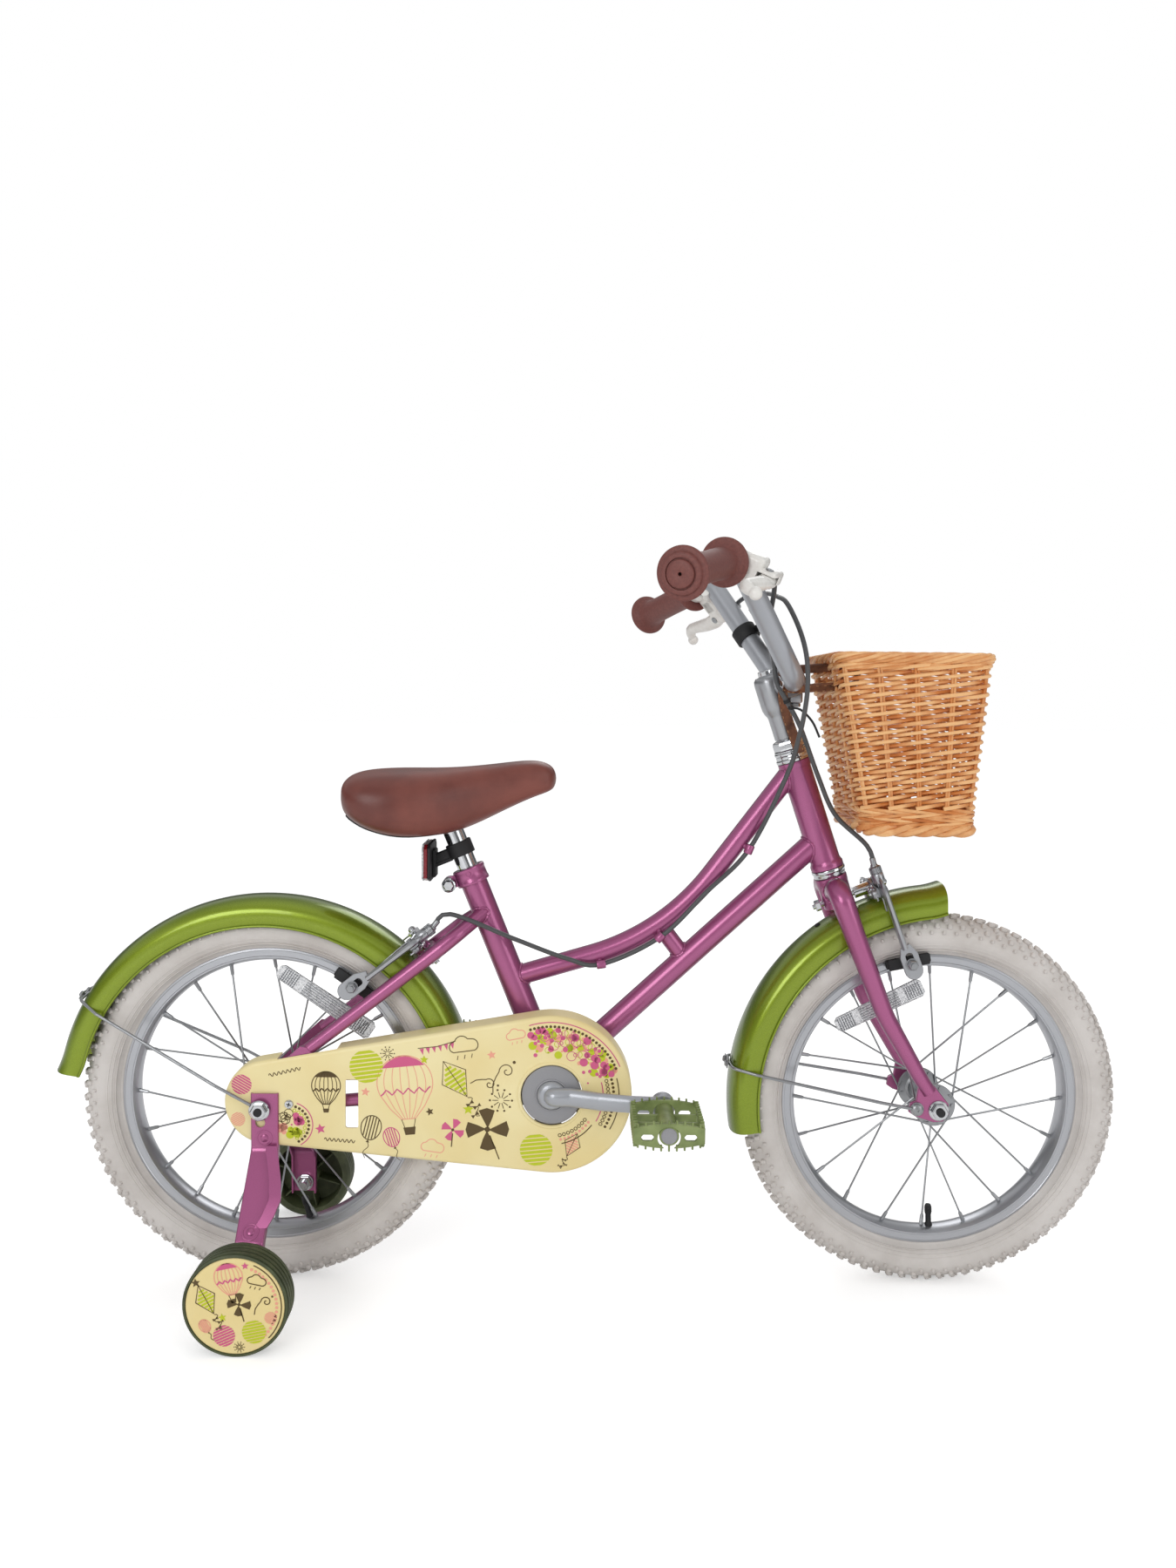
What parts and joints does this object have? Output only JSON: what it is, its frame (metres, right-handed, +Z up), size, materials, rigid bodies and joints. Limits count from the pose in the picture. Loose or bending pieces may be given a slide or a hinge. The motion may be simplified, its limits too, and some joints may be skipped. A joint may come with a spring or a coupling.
{
  "type": "children's bicycle",
  "caption": "Child's step-through bicycle with training wheels, fenders, a chain guard, rim brakes with cables, and a front basket.",
  "frame": {"origin": "on the floor, under the middle of the bicycle's outer box", "axes": "+X forwards, +Y to the rider's left, +Z up"},
  "size_m": [1.1412, 0.516, 0.7852],
  "materials": {
    "grey_tyre": "pale grey",
    "silver_alloy": "satin silver",
    "grey_steel": "zinc plated",
    "pink_enamel": "gloss metallic pink",
    "chrome": "polished",
    "green_enamel": "gloss metallic green",
    "dark_olive_plastic": "dark olive",
    "cream_plastic": "satin cream",
    "grey_plastic": "silver grey",
    "chain_steel": "oiled brown steel",
    "olive_plastic": "olive",
    "red_brown_vinyl": "satin red-brown vinyl",
    "black_plastic": "black",
    "white_plastic": "white",
    "orange_weave": "woven orange",
    "brown_leather": "smooth brown",
    "black_rubber": "black",
    "cable_sleeve": "clear grey sleeve"
  },
  "bodies": {
    "frame": {"frame": "pink_enamel", "headset_cup_upper": "chrome", "headset_cup_lower": "chrome", "bottom_bracket_cup_right": "grey_steel", "bottom_bracket_cup_left": "grey_steel", "seat_clamp": "pink_enamel", "rear_fender": "green_enamel", "rear_fender_stay": "grey_steel", "chain_guard": "cream_plastic", "rear_axle": "chrome", "stabiliser_bracket_right": "pink_enamel", "stabiliser_bracket_left": "pink_enamel", "rear_brake_bolt": "chrome", "rear_brake_cable": "cable_sleeve", "chain": "chain_steel"},
    "seat": {"seat_post": "chrome", "saddle": "red_brown_vinyl", "saddle_base": "black_plastic", "rear_reflector": "black_plastic"},
    "rear_wheel": {"rear_tyre": "grey_tyre", "rear_rim": "silver_alloy", "rear_hub": "grey_steel"},
    "freewheel": {"freewheel": "chain_steel"},
    "crankset": {"crank": "silver_alloy", "chainring": "grey_plastic", "chainring_cover": "grey_plastic"},
    "pedal_right": {"pedal_right": "olive_plastic"},
    "pedal_left": {"pedal_left": "olive_plastic"},
    "stabiliser_wheel_right": {"stabiliser_wheel_right": "dark_olive_plastic"},
    "stabiliser_wheel_left": {"stabiliser_wheel_left": "dark_olive_plastic"},
    "rear_brake_arm_right": {"rear_brake_arm_right": "chrome", "rear_brake_pad_right": "black_rubber"},
    "rear_brake_arm_left": {"rear_brake_arm_left": "chrome", "rear_brake_pad_left": "black_rubber"},
    "steering": {"fork": "pink_enamel", "front_axle": "chrome", "front_fender": "green_enamel", "front_fender_stay": "grey_steel", "front_brake_bolt": "chrome", "front_brake_cable": "cable_sleeve", "headset_locknut": "chrome", "stem": "silver_alloy", "handlebar": "silver_alloy", "grip_right": "red_brown_vinyl", "grip_left": "red_brown_vinyl", "lever_bracket_right": "white_plastic", "lever_bracket_left": "white_plastic", "front_reflector": "black_plastic", "basket": "orange_weave", "basket_strap_right": "brown_leather", "basket_strap_left": "brown_leather"},
    "brake_lever_right": {"brake_lever_right": "white_plastic"},
    "brake_lever_left": {"brake_lever_left": "white_plastic"},
    "front_brake_arm_right": {"front_brake_arm_right": "chrome", "front_brake_pad_right": "black_rubber"},
    "front_brake_arm_left": {"front_brake_arm_left": "chrome", "front_brake_pad_left": "black_rubber"},
    "front_wheel": {"front_tyre": "grey_tyre", "front_rim": "silver_alloy", "front_hub": "grey_steel"}
  },
  "joints": [
    {"name": "steering_turn", "type": "hinge", "parent": "frame", "child": "steering", "pos_m": [0.2327, 0, 0.51235], "axis": [-0.3239, 0, 0.9461], "range_deg": [-60, 60], "deforming": ["rear_brake_cable"]},
    {"name": "front_wheel_spin", "type": "hinge", "parent": "steering", "child": "front_wheel", "pos_m": [0.3666, 0, 0.204], "axis": [0, 1, 0], "continuous": true},
    {"name": "rear_wheel_spin", "type": "hinge", "parent": "frame", "child": "rear_wheel", "pos_m": [-0.3444, 0, 0.204], "axis": [0, 1, 0], "continuous": true},
    {"name": "crank_spin", "type": "hinge", "parent": "frame", "child": "crankset", "pos_m": [-0.04185, 0, 0.222], "axis": [0, 1, 0], "continuous": true, "deforming": ["chain"]},
    {"name": "freewheel_spin", "type": "hinge", "parent": "frame", "child": "freewheel", "pos_m": [-0.3444, 0, 0.204], "axis": [0, 1, 0], "continuous": true},
    {"name": "pedal_right_spin", "type": "hinge", "parent": "crankset", "child": "pedal_right", "pos_m": [0.07165, -0.14, 0.222], "axis": [0, 1, 0], "continuous": true},
    {"name": "pedal_left_spin", "type": "hinge", "parent": "crankset", "child": "pedal_left", "pos_m": [-0.15535, 0.14, 0.222], "axis": [0, 1, 0], "continuous": true},
    {"name": "stabiliser_wheel_right_spin", "type": "hinge", "parent": "frame", "child": "stabiliser_wheel_right", "pos_m": [-0.3401, -0.1545, 0.0506], "axis": [0, 1, 0], "continuous": true},
    {"name": "stabiliser_wheel_left_spin", "type": "hinge", "parent": "frame", "child": "stabiliser_wheel_left", "pos_m": [-0.3401, 0.1545, 0.0506], "axis": [0, 1, 0], "continuous": true},
    {"name": "seat_height", "type": "slide", "parent": "frame", "child": "seat", "axis": [-0.3778, 0, 0.9259], "range_m": [-0.012, 0.06]},
    {"name": "brake_lever_right_squeeze", "type": "hinge", "parent": "steering", "child": "brake_lever_right", "pos_m": [0.15536, -0.15128, 0.74677], "axis": [-0.3086, 0.3445, -0.8866], "range_deg": [0, 16], "stiffness_Nm_per_rad": 1.2, "springref_deg": -8.59},
    {"name": "brake_lever_left_squeeze", "type": "hinge", "parent": "steering", "child": "brake_lever_left", "pos_m": [0.14686, 0.14416, 0.73319], "axis": [0.6381, 0.4486, 0.6258], "range_deg": [0, 16], "stiffness_Nm_per_rad": 1.2, "springref_deg": -8.59},
    {"name": "rear_brake_arm_right_swing", "type": "hinge", "parent": "frame", "child": "rear_brake_arm_right", "pos_m": [-0.18563, 0, 0.36992], "axis": [0.6153, 0, -0.7883], "range_deg": [0, 1.12]},
    {"name": "rear_brake_arm_left_swing", "type": "hinge", "parent": "frame", "child": "rear_brake_arm_left", "pos_m": [-0.18563, 0, 0.36992], "axis": [-0.6153, 0, 0.7883], "range_deg": [0, 1.12]},
    {"name": "front_brake_arm_right_swing", "type": "hinge", "parent": "steering", "child": "front_brake_arm_right", "pos_m": [0.29823, 0, 0.43435], "axis": [0.9341, 0, 0.357], "range_deg": [0, 1.12]},
    {"name": "front_brake_arm_left_swing", "type": "hinge", "parent": "steering", "child": "front_brake_arm_left", "pos_m": [0.29823, 0, 0.43435], "axis": [-0.9341, 0, -0.357], "range_deg": [0, 1.12]}
  ],
  "couplings": [
    {"joint": "freewheel_spin", "follows": "crank_spin", "ratio": 2.4286},
    {"joint": "rear_brake_arm_right_swing", "follows": "brake_lever_left_squeeze", "ratio": 0.07},
    {"joint": "rear_brake_arm_left_swing", "follows": "brake_lever_left_squeeze", "ratio": 0.07},
    {"joint": "front_brake_arm_right_swing", "follows": "brake_lever_right_squeeze", "ratio": 0.07},
    {"joint": "front_brake_arm_left_swing", "follows": "brake_lever_right_squeeze", "ratio": 0.07}
  ]
}
